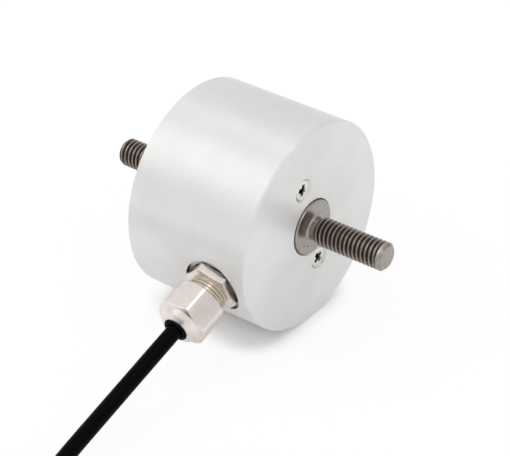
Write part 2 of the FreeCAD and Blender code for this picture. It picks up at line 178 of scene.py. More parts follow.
def plug(tree, made, sockets):
    """Give a node's sockets their values, or links from other nodes' outputs."""
    for name, value in sockets.items():
        if isinstance(value, bpy.types.NodeSocket):
            tree.links.new(value, made.inputs[name])
        else:
            made.inputs[name].default_value = value


def add(tree, kind, sockets=None, **settings):
    """Add one node with its settings and with what its sockets take."""
    made = tree.nodes.new(kind)
    for name, value in settings.items():
        setattr(made, name, value)
    plug(tree, made, sockets or {})
    return made


def reckoned(tree, operation, *values, **settings):
    """The result of one sum on numbers."""
    return add(tree, "ShaderNodeMath", dict(enumerate(values)), operation=operation, **settings).outputs[0]


def vector_reckoned(tree, operation, *values, result="Vector"):
    """The result of one sum on vectors, as a vector or as a number."""
    return add(tree, "ShaderNodeVectorMath", dict(enumerate(values)), operation=operation).outputs[result]


def blended(tree, factor, one, other, kind="RGBA"):
    """A colour, or a number, between two."""
    sockets = {"Factor": factor, "A": one, "B": other}
    return add(tree, "ShaderNodeMix", sockets, data_type=kind).outputs["Result"]


def ranged(tree, value, ends, results=(0.0, 1.0), **settings):
    """A number carried from between two ends to between two results."""
    sockets = {"Value": value, "From Min": ends[0], "From Max": ends[1]}
    sockets.update({"To Min": results[0], "To Max": results[1]})
    return add(tree, "ShaderNodeMapRange", sockets, **settings).outputs["Result"]


def mapped(tree, place, location, rotation=(0, 0, 0)):
    """Coordinates that are turned and then moved."""
    sockets = {"Vector": place, "Location": location, "Rotation": rotation}
    return add(tree, "ShaderNodeMapping", sockets).outputs["Vector"]


def about_load_axis(tree, place):
    """Coordinates with their X axis on the load axis."""
    return mapped(tree, place, (0, 0, -housing_radius * MM))


def axis_distance(tree, place):
    """The distance from the X axis."""
    across = vector_reckoned(tree, "MULTIPLY", place, (0, 1, 1))
    return vector_reckoned(tree, "LENGTH", across, result="Value")


def new_material(name):
    """An empty material, its tree, its surface node and its coordinates."""
    material = bpy.data.materials.new(name)
    material.use_nodes = True
    tree = material.node_tree
    tree.nodes.clear()
    surface = add(tree, "ShaderNodeBsdfPrincipled")
    add(tree, "ShaderNodeOutputMaterial", {"Surface": surface.outputs[0]})
    return material, tree, surface, add(tree, "ShaderNodeTexCoord").outputs["Object"]


def grained(tree, place, grain_mm, low=0.0, high=1.0):
    """A noise of that grain size, as a number from low to high."""
    noise_ends = (0.3, 0.7)
    sockets = {"Vector": place, "Scale": 1 / (grain_mm * MM), "Detail": 3.0}
    noise = add(tree, "ShaderNodeTexNoise", sockets).outputs["Fac"]
    return ranged(tree, noise, noise_ends, (low, high))


def bumped(tree, height, depth_mm):
    """A normal bumped by a height of up to the given depth."""
    sockets = {"Height": height, "Distance": depth_mm * MM, "Strength": 1.0}
    return add(tree, "ShaderNodeBump", sockets).outputs["Normal"]


def mottled(tree, factor, shades):
    """A colour between two hex colours."""
    return blended(tree, factor, linear(shades[0]), linear(shades[1]))


def shaded_grooves(tree, unshaded, groove_shade):
    """A colour that turns darker in the grooves of a thread: a painted shade."""
    full_at_half = 2.0
    depth = add(tree, "ShaderNodeAttribute", attribute_name="groove").outputs["Fac"]
    share = reckoned(tree, "MULTIPLY", depth, full_at_half, use_clamp=True)
    return blended(tree, share, unshaded, linear(groove_shade))


# Materials


def new_metal(name, shades, metallic, cloud_mm, grain_mm, roughness):
    """A metal with two near shades in soft clouds and a grain in its gloss; its unshaded colour comes last.
    """
    material, tree, surface, place = new_material(name)
    unshaded = mottled(tree, grained(tree, place, cloud_mm), shades)
    gloss = grained(tree, place, grain_mm, *roughness)
    plug(tree, surface, {"Metallic": metallic, "Base Color": unshaded, "Roughness": gloss})
    return material, tree, surface, place, unshaded


def make_anodised_aluminium():
    """Turned and clear anodised: a bright satin with light streaked along the can, painted shade in the spot
    face.
    """
    shades = ("#e4e4e3", "#e9e9e8")
    material, tree, surface, place, unshaded = new_metal(
        "anodised_aluminium", shades, metallic=0.6, cloud_mm=9.0, grain_mm=0.5, roughness=(0.46, 0.52)
    )
    # The turning marks run round the load axis, so light spreads across them
    quarter_turn = 0.25
    marks = vector_reckoned(tree, "CROSS_PRODUCT", (1, 0, 0), about_load_axis(tree, place))
    plug(tree, surface, {"Anisotropic": 0.9, "Anisotropic Rotation": quarter_turn, "Tangent": marks})
    # Painted shade, a dark brown, on the wall of the spot face under the gland
    shaded_wall_depth = 0.06
    to_gland = gland_place.inverted()
    at_gland = mapped(tree, place, to_gland.translation * MM, to_gland.to_euler())
    along = add(tree, "ShaderNodeSeparateXYZ", {0: at_gland}).outputs["X"]
    wall = reckoned(tree, "COMPARE", axis_distance(tree, at_gland), spot_radius * MM, shaded_wall_depth * MM)
    outside = reckoned(tree, "GREATER_THAN", along, bore_radius * MM)
    colour = blended(tree, reckoned(tree, "MULTIPLY", wall, outside), unshaded, linear("#46301f"))
    normal = bumped(tree, grained(tree, place, grain_mm=0.35), depth_mm=0.003)
    plug(tree, surface, {"Base Color": colour, "Normal": normal})
    return material


def make_stainless_steel():
    """Turned stainless steel: grey with a brown cast and fine feed marks, and painted shade in the thread's
    grooves.
    """
    shades = ("#9a938d", "#a8a19b")
    material, tree, surface, place, unshaded = new_metal(
        "turned_stainless_steel", shades, metallic=1.0, cloud_mm=2.5, grain_mm=0.4, roughness=(0.27, 0.36)
    )
    feed_mm = 0.22
    radius = axis_distance(tree, about_load_axis(tree, place))
    phase = reckoned(tree, "MULTIPLY", radius, 2 * math.pi / (feed_mm * MM))
    normal = bumped(tree, reckoned(tree, "SINE", phase), depth_mm=0.002)
    # The thread's grooves get a painted shade, a dark brown
    plug(tree, surface, {"Base Color": shaded_grooves(tree, unshaded, "#62554d"), "Normal": normal})
    return material


def make_nickel_plating():
    """Satin nickel over brass: a warm silver with the soft ripple of the bar."""
    shades = ("#ddd5cf", "#e6dfd9")
    material, tree, surface, place, unshaded = new_metal(
        "nickel_plated_brass", shades, metallic=0.92, cloud_mm=3.0, grain_mm=1.2, roughness=(0.26, 0.31)
    )
    normal = bumped(tree, grained(tree, place, grain_mm=2.2), depth_mm=0.0015)
    # The thread's grooves get a painted shade, a light warm tan
    plug(tree, surface, {"Base Color": shaded_grooves(tree, unshaded, "#cdbfaf"), "Normal": normal})
    return material


def make_plated_steel():
    """Bright zinc on a small steel screw: pale and a little frosted, with painted shade in its recess."""
    shades = ("#d8d2cc", "#e6e2dd")
    material, tree, surface, place, unshaded = new_metal(
        "bright_plated_steel", shades, metallic=1.0, cloud_mm=0.8, grain_mm=0.3, roughness=(0.22, 0.32)
    )
    # Painted shade, dark brown, grows with depth in the cross recess
    shade_start_depth = 0.1
    shade_full_depth = 0.7
    head_top = front_face - screw_recess
    along = add(tree, "ShaderNodeSeparateXYZ", {0: place}).outputs["X"]
    sunk = ranged(tree, along, ((head_top - shade_start_depth) * MM, (head_top - shade_full_depth) * MM))
    colour = blended(tree, sunk, unshaded, linear("#3c261e"))
    normal = bumped(tree, grained(tree, place, grain_mm=0.3), depth_mm=0.003)
    plug(tree, surface, {"Base Color": colour, "Normal": normal})
    return material


def make_spring_steel():
    """Ground alloy steel: a plain grey with a fine grain."""
    shades = ("#a3a3a2", "#b2b2b1")
    return new_metal(
        "ground_spring_steel", shades, metallic=1.0, cloud_mm=1.5, grain_mm=0.3, roughness=(0.28, 0.4)
    )[0]


def make_tinned_copper():
    """Tinned strands: soft, bright and pale."""
    material, tree, surface, place = new_material("tinned_copper")
    gloss = grained(tree, place, 0.4, low=0.25, high=0.4)
    plug(tree, surface, {"Metallic": 1.0, "Base Color": linear("#c9c6c0"), "Roughness": gloss})
    return material


def make_plain(name, shades, grain_mm, roughness, depth_mm, shine=0.5):
    """A moulded or extruded plastic or rubber: two near shades, a fine grain and its gloss."""
    material, tree, surface, place = new_material(name)
    grain = grained(tree, place, grain_mm)
    gloss = grained(tree, place, grain_mm, *roughness)
    plug(tree, surface, {"Base Color": mottled(tree, grain, shades), "Roughness": gloss})
    plug(tree, surface, {"Normal": bumped(tree, grain, depth_mm), "Specular IOR Level": shine})
    return material


tinned_copper = make_tinned_copper()

# The look of each material slot; a plain one has its shades, its grain's size, its roughness, its
# grain's depth and any shine of its own
looks = {
    "anodised_aluminium": make_anodised_aluminium(),
    "stainless_steel": make_stainless_steel(),
    "nickel_plated_brass": make_nickel_plating(),
    "plated_steel": make_plated_steel(),
    "spring_steel": make_spring_steel(),
    # Moulded nitrile rubber: dull black
    "black_rubber": make_plain("moulded_rubber", ("#060606", "#0a0a0a"), 0.4, (0.55, 0.7), 0.006, 0.06),
    # Extruded jacket: deep black with a soft, slightly blue gloss
    "cable_jacket": make_plain("extruded_jacket", ("#030304", "#060709"), 0.5, (0.36, 0.46), 0.006, 0.03),
    # Natural nylon: milky, with a soft gloss
    "natural_nylon": make_plain("natural_nylon", ("#dfdacb", "#e8e4d8"), 0.8, (0.38, 0.48), 0.004),
    # Polyimide foil of the gauges: amber and smooth
    "gauge_foil": make_plain("gauge_foil", ("#c07a28", "#cf8a36"), 0.6, (0.2, 0.3), 0.001),
    # Glass-fibre board under green lacquer
    "circuit_board": make_plain("lacquered_board", ("#155c34", "#1b6a3d"), 0.5, (0.25, 0.35), 0.004),
    # Shrunk polyolefin sleeve: black and even
    "heat_shrink": make_plain("heat_shrink", ("#0c0c0c", "#121212"), 0.7, (0.4, 0.5), 0.008),
}
# Lead insulation: thin smooth plastic
for slot, shades in {
    "red_insulation": ("#a81418", "#b41a1e"),
    "white_insulation": ("#e4e3de", "#ecebe6"),
    "green_insulation": ("#126b2c", "#177734"),
    "black_insulation": ("#111112", "#171718"),
    "yellow_insulation": ("#cf9e16", "#dbab20"),
}.items():
    looks[slot] = make_plain(slot, shades, 0.5, (0.3, 0.4), 0.003)


# Meshes


def eased(outline, radius, steps):
    """Round the corners of an open outline, each as far as its two sides allow."""
    most_of_a_side = 0.45
    points = [Vector(outline[0])]
    for before, corner, after in zip(outline, outline[1:], outline[2:]):
        corner = Vector(corner)
        run_in = corner - Vector(before)
        run_out = Vector(after) - corner
        wanted = radius * math.tan(run_in.angle(run_out) / 2)
        reach = min(wanted, most_of_a_side * run_in.length, most_of_a_side * run_out.length)
        start = corner - run_in.normalized() * reach
        end = corner + run_out.normalized() * reach
        for step in range(steps + 1):
            share = step / steps
            points.append(start.lerp(corner, share).lerp(corner.lerp(end, share), share))
    points.append(Vector(outline[-1]))
    return [tuple(point) for point in points]


def skin(shape, pairs):
    """Join the rings of each pair by a band of faces."""
    for near, far in pairs:
        for step in range(len(near)):
            corners = dict.fromkeys((near[step], near[step - 1], far[step - 1], far[step]))
            if len(corners) > 2:
                shape.faces.new(corners)


def turn_outline(shape, outline, segments, closed):
    """Turn (along, radius) points about X; a closed outline also joins its last point to its first."""
    rings = []
    angles = [2 * math.pi * step / segments for step in range(segments)]
    for along, radius in outline:
        if radius < MERGE:
            ring = [shape.verts.new((along, 0, 0))] * segments
        else:
            ring = [shape.verts.new((along, radius * math.cos(a), radius * math.sin(a))) for a in angles]
        rings.append(ring)
    skin(shape, zip(rings, rings[1:]))
    if closed:
        skin(shape, [(rings[-1], rings[0])])


def linked(name, data):
    """A new object in the scene."""
    made = bpy.data.objects.new(name, data)
    bpy.context.scene.collection.objects.link(made)
    return made


def object_of(shape, name):
    """An object made from a mesh in the making, its doubles merged and its faces turned outwards."""
    bmesh.ops.remove_doubles(shape, verts=shape.verts, dist=MERGE)
    bmesh.ops.recalc_face_normals(shape, faces=shape.faces)
    mesh = bpy.data.meshes.new(name)
    shape.to_mesh(mesh)
    shape.free()
    return linked(name, mesh)


def turned_object(name, outline, segments, rounding=0.0, steps=3, closed=False):
    """An object turned about X from an outline, its corners rounded if a radius is given."""
    shape = bmesh.new()
    turn_outline(shape, eased(outline, rounding, steps) if rounding else outline, segments, closed)
    return object_of(shape, name)


def evaluated_mesh(made):
    """An object's mesh with its modifiers applied."""
    graph = bpy.context.evaluated_depsgraph_get()
    return bpy.data.meshes.new_from_object(made.evaluated_get(graph))


def baked(made):
    """Apply an object's modifiers by taking its evaluated mesh."""
    mesh = evaluated_mesh(made)
    made.modifiers.clear()
    made.data = mesh
    return made


def carved(made, tools, operation="DIFFERENCE"):
    """Cut an object by others, which are used up."""
    for tool in tools:
        carve = made.modifiers.new(tool.name, "BOOLEAN")
        carve.operation = operation
        carve.solver = "EXACT"
        carve.object = tool
    baked(made)
    for tool in tools:
        bpy.data.objects.remove(tool)
    return made


def moved(made, place):
    """Move an object's mesh, which stays in millimetres."""
    made.data.transform(place)
    return made


def joined(name, parts):
    """One object from several, which are used up."""
    shape = bmesh.new()
    for part in parts:
        shape.from_mesh(part.data)
        bpy.data.objects.remove(part)
    return object_of(shape, name)


def dressed(made, place, slot, node, *more_materials):
    """Place a finished mesh in the row's frame, with its materials, its body and the solid it stands for."""
    mesh = made.data
    mesh.transform(Matrix.Scale(MM, 4) @ place)
    mesh.materials.clear()
    for material in (looks[slot], *more_materials):
        mesh.materials.append(material)
    mesh.polygons.foreach_set("use_smooth", [True] * len(mesh.polygons))
    mesh.set_sharp_from_angle(angle=SHARP_ANGLE)
    mesh.update()
    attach(made, "root")
    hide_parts(node)
    return made


def pressed(made, turn, corner_rounding):
    """Press a turned object into a hexagon about X, its first corner turned from Y towards -Z."""
    edge_rounding = 0.25
    arc_middle = (gland_flat_radius - corner_rounding) / math.cos(TO_CORNER)
    flat_half = (gland_flat_radius - corner_rounding) * math.tan(TO_CORNER)
    for vertex in made.data.vertices:
        along, y, z = vertex.co
        radius = math.hypot(y, z)
        from_corner = math.atan2(z, y) + math.radians(turn)
        off_corner = abs((from_corner + TO_CORNER) % (2 * TO_CORNER) - TO_CORNER)
        off_flat = TO_CORNER - off_corner
        side = gland_flat_radius / math.cos(off_flat)
        if gland_flat_radius * math.tan(off_flat) > flat_half:
            sunk = arc_middle * math.sin(off_corner)
            side = arc_middle * math.cos(off_corner) + math.sqrt(corner_rounding**2 - sunk**2)
        near = max(edge_rounding - abs(radius - side), 0) / edge_rounding
        kept = min(radius, side) - near**2 * edge_rounding / 4
        vertex.co = (along, y * kept / radius, z * kept / radius)
    return made


def steps_between(start, end, count):
    """Evenly spaced points from start up to, but without, end."""
    return [tuple(Vector(start).lerp(Vector(end), step / count)) for step in range(count)]


# Geometry trees


def new_growth(name, inputs):
    """An empty geometry tree with inputs given by kind, and their sockets."""
    tree = bpy.data.node_groups.new(name, "GeometryNodeTree")
    for kind, names in inputs.items():
        for socket in names:
            tree.interface.new_socket(socket, in_out="INPUT", socket_type=f"NodeSocket{kind}")
    tree.interface.new_socket("Grown", in_out="OUTPUT", socket_type="NodeSocketGeometry")
    # The last output is an empty one
    return tree, list(add(tree, "NodeGroupInput").outputs)[:-1]


def end_growth(tree, geometry, material):
    """Make a tree's instances real, give them their material and put them out."""
    real = add(tree, "GeometryNodeRealizeInstances", {"Geometry": geometry}).outputs[0]
    shown = add(tree, "GeometryNodeSetMaterial", {"Geometry": real, "Material": material}).outputs[0]
    add(tree, "NodeGroupOutput", {"Grown": shown})


def grown(name, tree, values):
    """A plain mesh object from a geometry tree and its inputs by name."""
    made = linked(name, bpy.data.meshes.new(name))
    growth = made.modifiers.new(name, "NODES")
    growth.node_group = tree
    for socket in tree.interface.items_tree:
        if socket.in_out == "INPUT":
            growth[socket.identifier] = values[socket.name]
    return baked(made)


def make_thread_tree():
    """A right-hand thread: a grid wound round X, a pitch of its profile across and all its turns along."""
    sizes = ("pitch", "crest", "root", "start", "end", "start_radius", "end_radius", "plain_end")
    inputs = {"Float": sizes, "Int": ("turns", "segments"), "Material": ("material",)}
    tree, given = new_growth("right_hand_thread", inputs)
    pitch, crest, root, start, end, start_radius, end_radius, plain_end, turns, segments, material = given

    def reckon(operation, *values):
        return reckoned(tree, operation, *values)

    # A sixteenth of the pitch between rows puts a row on each corner of the standard profile
    rows = 17
    half_root_flat = 1 / 8
    flank = 5 / 16
    run_out_pitches = 0.6
    columns = reckon("ADD", reckon("MULTIPLY", turns, segments), 1)
    sockets = {"Size X": 1.0, "Size Y": 1.0, "Vertices X": columns, "Vertices Y": rows}
    grid = add(tree, "GeometryNodeMeshGrid", sockets).outputs["Mesh"]
    place = add(tree, "GeometryNodeInputPosition").outputs[0]
    flat = add(tree, "ShaderNodeSeparateXYZ", {0: place}).outputs
    turn = reckon("MULTIPLY", reckon("ADD", flat["X"], 0.5), turns)
    across = reckon("SUBTRACT", reckon("ADD", turn, flat["Y"]), 0.5)
    ahead = reckon("ADD", start, reckon("MULTIPLY", across, pitch))
    along = reckon("MINIMUM", reckon("MAXIMUM", ahead, start), end)
    from_root = reckon("SUBTRACT", 0.5 - half_root_flat, reckon("ABSOLUTE", flat["Y"]))
    rise = reckon("MINIMUM", reckon("MAXIMUM", reckon("DIVIDE", from_root, flank), 0.0), 1.0)
    into_end = reckon("SUBTRACT", along, reckon("SUBTRACT", end, plain_end))
    run_out = reckon("DIVIDE", into_end, reckon("MULTIPLY", pitch, run_out_pitches))
    rise = reckon("MINIMUM", reckon("MAXIMUM", rise, run_out), 1.0)
    depth = reckon("SUBTRACT", crest, root)
    profile = reckon("ADD", root, reckon("MULTIPLY", rise, depth))
    start_limit = reckon("ADD", start_radius, reckon("SUBTRACT", along, start))
    end_limit = reckon("ADD", end_radius, reckon("SUBTRACT", end, along))
    radius = reckon("MINIMUM", profile, reckon("MINIMUM", start_limit, end_limit))
    # Rows that are held back at an end all lie on its circle
    hair = 1e-3
    before = reckon("LESS_THAN", ahead, reckon("ADD", start, hair))
    past = reckon("GREATER_THAN", ahead, reckon("SUBTRACT", end, hair))
    radius = blended(tree, before, radius, start_radius, kind="FLOAT")
    radius = blended(tree, past, radius, end_radius, kind="FLOAT")
    angle = reckon("MULTIPLY", turn, 2 * math.pi)
    y = reckon("MULTIPLY", radius, reckon("COSINE", angle))
    z = reckon("MULTIPLY", radius, reckon("SINE", angle))
    wound = add(tree, "ShaderNodeCombineXYZ", {"X": along, "Y": y, "Z": z}).outputs[0]
    # Painted shade lies in the grooves, and a little of it on the chamfers
    chamfer_shade = 0.2
    sunk = reckon("DIVIDE", reckon("SUBTRACT", crest, radius), depth)
    groove_shade = reckon("MAXIMUM", reckon("SUBTRACT", 1.0, rise), reckon("MULTIPLY", sunk, chamfer_shade))
    sockets = {"Geometry": grid, "Name": "groove", "Value": groove_shade}
    marked = add(tree, "GeometryNodeStoreNamedAttribute", sockets).outputs[0]
    placed = add(tree, "GeometryNodeSetPosition", {"Geometry": marked, "Position": wound}).outputs[0]
    whole = add(tree, "GeometryNodeMergeByDistance", {"Geometry": placed, "Distance": MERGE}).outputs[0]
    end_growth(tree, whole, material)
    return tree


thread_tree = make_thread_tree()


def thread(name, pitch, start, end, **others):
    """A thread between two places on X, chamfered down to a radius at each end."""
    values = {"pitch": pitch, "start": start, "end": end, "turns": math.ceil((end - start) / pitch) + 1}
    return grown(name, thread_tree, values | others)


# Can


def make_housing():
    """The cup: turned, then drilled for the screws and spot-faced and bored for the gland."""
    outside = [
        (element_front, bore_radius),
        (element_front, stud_hole_radius),
        (front_face, stud_hole_radius),
        (front_face, housing_radius - housing_edge),
        (front_face - housing_edge, housing_radius),
        (rear_face + housing_edge, housing_radius),
        (rear_face, housing_radius - housing_edge),
        (rear_face, rebate_radius),
        (cover_inside, rebate_radius),
        (cover_inside, bore_radius),
    ]
    housing = turned_object("housing_shell", outside, segments=288, rounding=edge_break, closed=True)
    clearance = 0.1
    head = screw_head_radius + clearance
    shank = screw_radius + clearance
    head_top = front_face - screw_recess - screw_head_rim
    countersink = [
        (front_face + overshoot, 0),
        (front_face + overshoot, head + screw_recess + edge_break + overshoot),
        (front_face - edge_break, head + screw_recess),
        (head_top, head),
        (head_top - head + shank, shank),
        (element_front - overshoot, shank),
        (element_front - overshoot, 0),
    ]
    tools = []
    for side in (1, -1):
        sink = turned_object(f"countersink_{side}", countersink, segments=96)
        tools.append(moved(sink, Matrix.Translation((0, 0, screw_rise + side * screw_spacing / 2))))
    inside_bore = bore_radius / 2
    outside_wall = housing_radius + 5 * overshoot
    spot_face = [
        (inside_bore, 0),
        (inside_bore, gland_hole_radius),
        (washer_seat, gland_hole_radius),
        (washer_seat, washer_pocket_radius),
        (spot_floor, washer_pocket_radius),
        (spot_floor, spot_radius),
        (outside_wall, spot_radius),
        (outside_wall, 0),
    ]
    spot = turned_object("gland_spot_face", spot_face, segments=128)
    tools.append(moved(spot, can_place.inverted() @ gland_place))
    carved(housing, tools)
    return dressed(housing, can_place, "anodised_aluminium", "housing")


def make_rear_cover():
    """The disc at the back, with the groove for its ring and two blind holes for a pin spanner."""
    groove_inside = (bore_radius + rebate_radius - ring_groove) / 2
    groove_outside = groove_inside + ring_groove
    outline = [
        (cover_inside, groove_inside),
        (cover_inside, stud_hole_radius),
        (rear_face, stud_hole_radius),
        (rear_face, cover_radius - cover_edge),
        (rear_face + cover_edge, cover_radius),
        (cover_inside, cover_radius),
        (cover_inside, groove_outside),
        (cover_inside - ring_groove, groove_outside),
        (cover_inside - ring_groove, groove_inside),
    ]
    cover = turned_object("rear_closing_cover", outline, segments=256, rounding=edge_break, closed=True)
    drilled = [
        (rear_face - overshoot, 0),
        (rear_face - overshoot, spanner_hole_radius + edge_break + overshoot),
        (rear_face + edge_break, spanner_hole_radius),
        (rear_face + spanner_hole_depth, spanner_hole_radius),
        (rear_face + spanner_hole_depth + spanner_hole_radius / 2, 0),
    ]
    tools = []
    for side in (1, -1):
        hole = turned_object(f"spanner_hole_{side}", drilled, segments=48)
        tools.append(moved(hole, Matrix.Translation((0, side * spanner_hole_spacing / 2, 0))))
    carved(cover, tools)
    return dressed(cover, can_place, "anodised_aluminium", "rear_cover")


# Studs


def make_stud(name, place, node, plain_end, marks):
    """A stud from its shoulder's inner face: the turned blank, the thread, its plain end and any marks."""
    segments = 96
    fillet_steps = 6
    small_break = 0.08
    lead_in = 0.03
    tip = stud_high.x - element_front
    thread_start = shoulder_thickness + neck_length
    groove_start = (shoulder_thickness - ring_groove) / 2
    groove_radius = stud_hole_radius - ring_groove
    fillet = [
        (
            shoulder_thickness + neck_fillet * (1 - math.sin(angle)),
            neck_radius + neck_fillet * (1 - math.cos(angle)),
        )
        for angle in [math.pi / 2 * (1 - step / fillet_steps) for step in range(fillet_steps + 1)]
    ]
    shoulder = eased(
        [
            (-thread_depth, 0),
            (-thread_depth, stud_radius - inner_chamfer),
            (inner_chamfer - thread_depth, stud_radius),
            (0, stud_radius),
            (0, shoulder_radius),
            (groove_start, shoulder_radius),
            (groove_start, groove_radius),
            (groove_start + ring_groove, groove_radius),
            (groove_start + ring_groove, shoulder_radius),
            (shoulder_thickness - shoulder_edge, shoulder_radius),
            (shoulder_thickness, shoulder_radius - shoulder_edge),
            (shoulder_thickness, neck_radius + neck_fillet),
        ],
        small_break,
        steps=3,
    )
    neck_end = [(thread_start - lead_in, neck_radius), (thread_start, neck_radius)]
    blank = turned_object(f"{name}_blank", shoulder + fillet + neck_end, segments)
    dent_radius = 0.55
    dent_depth = 0.28
    for number, (across, up) in enumerate(marks):
        dent = bmesh.new()
        bmesh.ops.create_icosphere(dent, subdivisions=3, radius=dent_radius)
        tool = object_of(dent, f"punch_{number}")
        moved(tool, Matrix.Translation((shoulder_thickness + dent_radius - dent_depth, across, up)))
        carved(blank, [tool])
    end_start = tip - tip_rounding
    end_radius = stud_tip_radius + tip_rounding
    end_outline = [(end_start, end_radius), (tip, stud_tip_radius), (tip, 0)]
    end = turned_object(f"{name}_end", end_outline, segments, rounding=2 * tip_rounding)
    turns = thread(
        f"{name}_thread",
        stud_pitch,
        thread_start,
        end_start,
        crest=stud_radius,
        root=stud_root_radius,
        start_radius=neck_radius,
        end_radius=end_radius,
        plain_end=plain_end,
        segments=segments,
        material=looks["stainless_steel"],
    )
    stud = joined(name, [turns, blank, end])
    return dressed(stud, place, "stainless_steel", node)


# Screws


def make_screw():
    """One countersunk screw along X with a cross recess, its head at the origin."""
    head_rounding = 0.1
    inner_end = screw_end - front_face + screw_recess
    outline = [
        (inner_end, 0),
        (inner_end, screw_radius),
        (-screw_head_rim - screw_head_radius + screw_radius, screw_radius),
        (-screw_head_rim, screw_head_radius),
        (0, screw_head_radius),
        (0, 0),
    ]
    screw = turned_object("screw", outline, segments=72, rounding=head_rounding)
    above_head = 0.05
    recess_depth = 1.8
    recess_point = 0.3
    wing_reach = (1.75, 0.9)
    wing_half_width = (0.68, 0.4)
    core_radius = (1.05, 0.45)
    tools = []
    for quarter in (0, 1):
        shape = bmesh.new()
        levels = []
        for level, (reach, half) in enumerate(zip(wing_reach, wing_half_width)):
            along = above_head - level * recess_depth
            corners = ((-reach, -half), (reach, -half), (reach, half), (-reach, half))
            levels.append([shape.verts.new((along, across, up)) for across, up in corners])
        top, bottom = levels
        shape.faces.new(top)
        shape.faces.new(bottom)
        skin(shape, [(bottom, top)])
        wing = object_of(shape, f"wing_{quarter}")
        tools.append(moved(wing, Matrix.Rotation(quarter * math.pi / 2, 4, "X")))
    core = [
        (above_head, 0),
        (above_head, core_radius[0]),
        (-recess_depth, core_radius[1]),
        (-recess_depth - recess_point, 0),
    ]
    tools.append(turned_object("recess_core", core, segments=24))
    return carved(screw, tools)


def make_screw_tree():
    """The same screw at each end of a line, each turned a little further than the last."""
    inputs = {
        "Object": ("screw",),
        "Vector": ("first", "step"),
        "Int": ("count",),
        "Float": ("first_turn", "turn_step"),
        "Material": ("material",),
    }
    tree, given = new_growth("screws_in_a_row", inputs)
    screw, first, step, count, first_turn, turn_step, material = given
    sockets = {"Count": count, "Start Location": first, "Offset": step}
    line = add(tree, "GeometryNodeMeshLine", sockets).outputs[0]
    number = add(tree, "GeometryNodeInputIndex").outputs[0]
    further = reckoned(tree, "MULTIPLY", number, turn_step)
    turn = reckoned(tree, "ADD", first_turn, further)
    rotation = add(tree, "ShaderNodeCombineXYZ", {"X": turn}).outputs[0]
    shape = add(tree, "GeometryNodeObjectInfo", {"Object": screw}).outputs["Geometry"]
    sockets = {"Points": line, "Instance": shape, "Rotation": rotation}
    screws = add(tree, "GeometryNodeInstanceOnPoints", sockets).outputs[0]
    end_growth(tree, screws, material)
    return tree


def make_housing_screws():
    """The two screws in the front face."""
    screw = make_screw()
    values = {
        "screw": screw,
        "first": (front_face - screw_recess, 0, screw_rise - screw_spacing / 2),
        "step": (0, 0, screw_spacing),
        "count": 2,
        "first_turn": math.radians(20),
        "turn_step": math.radians(38),
        "material": looks["plated_steel"],
    }
    screws = grown("countersunk_screws", make_screw_tree(), values)
    bpy.data.objects.remove(screw)
    return dressed(screws, can_place, "plated_steel", "housing_screws")


# Cable gland


def make_gland_body():
    """Shank, chamfered hexagon with a coned front, and threaded collar, bored through to the chamber."""
    segments = 96
    chamfer_angle = math.radians(15)
    chamfer = (hex_blank_radius - gland_flat_radius) * math.tan(chamfer_angle)
    hex_bore = 4.8
    cone_radius = 5.8
    cone_height = 0.5
    cone_top = hex_top + cone_height
    cone_steps = 12
    hexagon = turned_object(
        "gland_hexagon",
        [(cone_top, hex_bore), (hex_seat, hex_bore), (hex_seat, hex_blank_radius)]
        + steps_between((hex_top - chamfer, hex_blank_radius), (hex_top, gland_flat_radius), chamfer_steps)
        + steps_between((hex_top, gland_flat_radius), (cone_top, cone_radius), cone_steps)
        + [(cone_top, cone_radius)],
        hex_segments,
        closed=True,
    )
    pressed(hexagon, body_turn, body_corner_rounding)
    start_radius = 5.5
    end_radius = 5.0
    turns = thread(
        "gland_collar_thread",
        gland_pitch,
        hex_top,
        collar_top,
        crest=gland_thread_radius,
        root=gland_root_radius,
        start_radius=start_radius,
        end_radius=end_radius,
        plain_end=0.0,
        segments=segments,
        material=looks["nickel_plated_brass"],
    )
    rest = turned_object(
        "gland_shank_and_bore",
        [
            (hex_top, start_radius),
            (hex_seat, start_radius),
            (hex_seat, gland_shank_radius),
            (gland_shank_end, gland_shank_radius),
            (gland_shank_end, gland_bore_radius),
            (chamber_floor, gland_bore_radius),
            (chamber_floor, chamber_radius),
            (collar_top, chamber_radius),
            (collar_top, end_radius),
        ],
        segments,
    )
    body = joined("gland_threaded_body", [hexagon, turns, rest])
    return dressed(body, gland_place, "nickel_plated_brass", "gland_body")


def make_gland_cap_nut():
    """Hexagon with rounded corners, chamfered behind, a dome on its front and hollow for the cage."""
    chamfer_angle = math.radians(30)
    chamfer = (hex_blank_radius - gland_flat_radius) * math.tan(chamfer_angle)
    cage_outer = 5.95
    cage_inner = 4.75
    collar_room = 0.1
    shelf_width = 0.7
    shelf_rise = 0.1
    dome_rise = 1.5
    dome_radius = 5.3
    nose_radius = 4.1
    dome_rounding = 0.4
    back_land = 0.4
    back_steps = 4
    dome = eased(
        [
            (cap_shoulder - chamfer, hex_blank_radius),
            (cap_shoulder, gland_flat_radius),
            (cap_shoulder + shelf_rise, gland_flat_radius - shelf_width),
            (cap_shoulder + dome_rise, dome_radius),
            (cap_end, nose_radius),
            (cap_end, cap_hole_radius),
        ],
        dome_rounding,
        steps=6,
    )
    inside = [
        (cage_top, cap_hole_radius),
        (cage_top, cage_inner),
        (cage_base_top, cage_outer),
        (collar_top + collar_room, cage_outer),
        (collar_top + collar_room, gland_hole_radius),
        (cap_back, gland_hole_radius),
    ]
    back_edge = (cap_back, gland_flat_radius)
    back_rim = (cap_back + chamfer, hex_blank_radius)
    back = steps_between((cap_back, gland_flat_radius - back_land), back_edge, back_steps)
    back += steps_between(back_edge, back_rim, chamfer_steps) + [back_rim]
    front = steps_between(dome[0], dome[1], chamfer_steps) + dome[1:]
    nut = turned_object("gland_domed_nut", inside + back + front, hex_segments, closed=True)
    pressed(nut, cap_turn, cap_corner_rounding)
    return dressed(nut, gland_place, "nickel_plated_brass", "gland_cap_nut")


